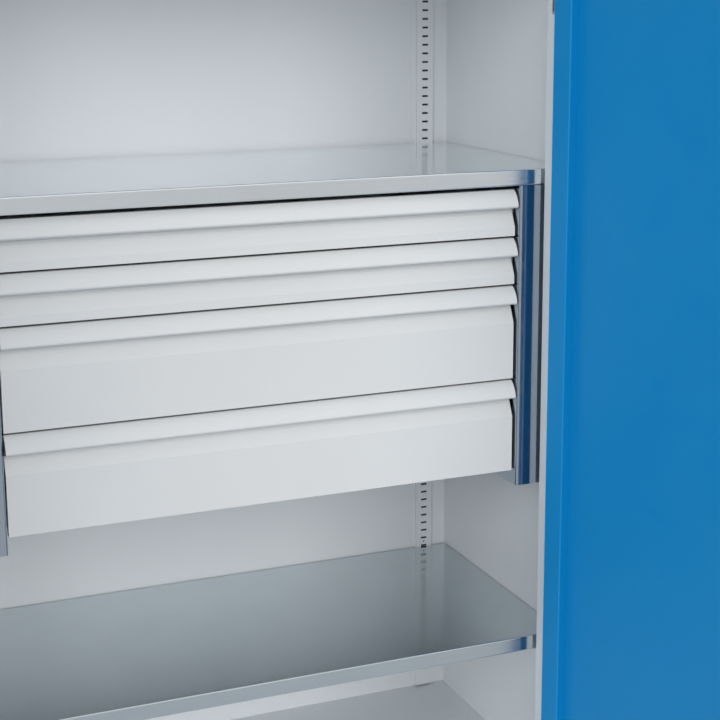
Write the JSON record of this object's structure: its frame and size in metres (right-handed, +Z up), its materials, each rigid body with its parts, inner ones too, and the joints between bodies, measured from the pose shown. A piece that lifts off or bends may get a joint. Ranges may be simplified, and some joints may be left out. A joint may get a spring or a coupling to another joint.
{
  "type": "storage cabinet",
  "caption": "Tall two-door sheet-steel storage cabinet with a block of full-width drawers between two shelves, and a rod lock.",
  "frame": {"origin": "on the floor, at the middle of the cabinet's footprint", "axes": "+Z up, +Y to the rear, +X to the right seen from the front"},
  "size_m": [1.7147, 1.1937, 2],
  "materials": {
    "body_grey": "light grey powder coat, fine texture, semi-matt",
    "drawer_grey": "light grey powder coat, smooth, semi-matt",
    "door_blue": "light blue powder coat, semi-matt",
    "plinth_grey": "dark grey powder coat, semi-matt",
    "galvanised": "zinc-plated sheet, smooth, semi-gloss",
    "runner_steel": "bright zinc-plated steel",
    "hinge_steel": "zinc-plated steel",
    "lock_steel": "zinc-plated steel",
    "black_plastic": "black moulded plastic, fine texture",
    "barrel_chrome": "chromed face of a key barrel"
  },
  "bodies": {
    "carcass": {"side_panel_left": "body_grey", "side_panel_right": "body_grey", "front_slot_strip_left": "body_grey", "front_slot_strip_right": "body_grey", "shelf_rail_left": "body_grey", "shelf_rail_right": "body_grey", "back_panel": "body_grey", "top_panel": "body_grey", "header_rail": "body_grey", "sill_rail": "body_grey", "floor_panel": "body_grey", "floor_stiffeners": "body_grey", "plinth": "plinth_grey", "upper_shelf": "galvanised", "lower_shelf": "galvanised", "shelf_clips": "galvanised", "housing_side_left": "galvanised", "housing_side_right": "galvanised", "housing_hooks": "galvanised", "housing_tie_rails": "galvanised", "runner_fixed": "runner_steel", "hinge_brackets_left": "hinge_steel", "hinge_brackets_right": "hinge_steel"},
    "door_left": {"door_left_panel": "door_blue", "door_left_rails": "door_blue", "door_left_stop_strip": "door_blue", "hinge_leaves_left": "hinge_steel"},
    "door_right": {"door_right_panel": "door_blue", "door_right_rails": "door_blue", "hinge_leaves_right": "hinge_steel", "handle_plate": "black_plastic", "lock_rod_guides": "black_plastic"},
    "handle": {"handle_lever": "black_plastic", "handle_spindle": "lock_steel", "lock_crank": "lock_steel"},
    "lock_barrel": {"lock_barrel": "barrel_chrome"},
    "rod_upper": {"lock_rod_upper": "lock_steel"},
    "rod_lower": {"lock_rod_lower": "lock_steel"},
    "drawer_1": {"drawer_front_1": "drawer_grey", "drawer_box_1": "drawer_grey", "runner_inner_1": "runner_steel"},
    "runner_middle_1": {"runner_middle_1": "runner_steel"},
    "drawer_2": {"drawer_front_2": "drawer_grey", "drawer_box_2": "drawer_grey", "runner_inner_2": "runner_steel"},
    "runner_middle_2": {"runner_middle_2": "runner_steel"},
    "drawer_3": {"drawer_front_3": "drawer_grey", "drawer_box_3": "drawer_grey", "runner_inner_3": "runner_steel"},
    "runner_middle_3": {"runner_middle_3": "runner_steel"},
    "drawer_4": {"drawer_front_4": "drawer_grey", "drawer_box_4": "drawer_grey", "runner_inner_4": "runner_steel"},
    "runner_middle_4": {"runner_middle_4": "runner_steel"}
  },
  "joints": [
    {"name": "door_right_swing", "type": "hinge", "parent": "carcass", "child": "door_right", "pos_m": [0.588, -0.32, 1.0335], "axis": [0, 0, 1], "range_deg": [-116.5, 3.5]},
    {"name": "door_left_swing", "type": "hinge", "parent": "carcass", "child": "door_left", "pos_m": [-0.588, -0.32, 1.0335], "axis": [0, 0, -1], "range_deg": [-116.5, 3.5]},
    {"name": "handle_turn", "type": "hinge", "parent": "door_right", "child": "handle", "pos_m": [0.82361, -0.78134, 1.05], "axis": [-0.8949, -0.4462, 0], "range_deg": [0, 90]},
    {"name": "barrel_turn", "type": "hinge", "parent": "handle", "child": "lock_barrel", "pos_m": [0.85314, -0.76662, 1.05], "axis": [-0.8949, -0.4462, 0], "range_deg": [0, 90]},
    {"name": "rod_upper_slide", "type": "slide", "parent": "door_right", "child": "rod_upper", "axis": [0, 0, 1], "range_m": [0, 0.017]},
    {"name": "rod_lower_slide", "type": "slide", "parent": "door_right", "child": "rod_lower", "axis": [0, 0, -1], "range_m": [0, 0.017]},
    {"name": "drawer_1_slide", "type": "slide", "parent": "carcass", "child": "drawer_1", "axis": [0, -1, 0], "range_m": [0, 0.5]},
    {"name": "runner_middle_1_slide", "type": "slide", "parent": "carcass", "child": "runner_middle_1", "axis": [0, -1, 0], "range_m": [0, 0.25]},
    {"name": "drawer_2_slide", "type": "slide", "parent": "carcass", "child": "drawer_2", "axis": [0, -1, 0], "range_m": [0, 0.5]},
    {"name": "runner_middle_2_slide", "type": "slide", "parent": "carcass", "child": "runner_middle_2", "axis": [0, -1, 0], "range_m": [0, 0.25]},
    {"name": "drawer_3_slide", "type": "slide", "parent": "carcass", "child": "drawer_3", "axis": [0, -1, 0], "range_m": [0, 0.5]},
    {"name": "runner_middle_3_slide", "type": "slide", "parent": "carcass", "child": "runner_middle_3", "axis": [0, -1, 0], "range_m": [0, 0.25]},
    {"name": "drawer_4_slide", "type": "slide", "parent": "carcass", "child": "drawer_4", "axis": [0, -1, 0], "range_m": [0, 0.5]},
    {"name": "runner_middle_4_slide", "type": "slide", "parent": "carcass", "child": "runner_middle_4", "axis": [0, -1, 0], "range_m": [0, 0.25]}
  ],
  "couplings": [
    {"joint": "rod_upper_slide", "follows": "handle_turn", "m_per_rad": 0.010804},
    {"joint": "rod_lower_slide", "follows": "handle_turn", "m_per_rad": 0.010804},
    {"joint": "runner_middle_1_slide", "follows": "drawer_1_slide", "ratio": 0.5},
    {"joint": "runner_middle_2_slide", "follows": "drawer_2_slide", "ratio": 0.5},
    {"joint": "runner_middle_3_slide", "follows": "drawer_3_slide", "ratio": 0.5},
    {"joint": "runner_middle_4_slide", "follows": "drawer_4_slide", "ratio": 0.5}
  ]
}
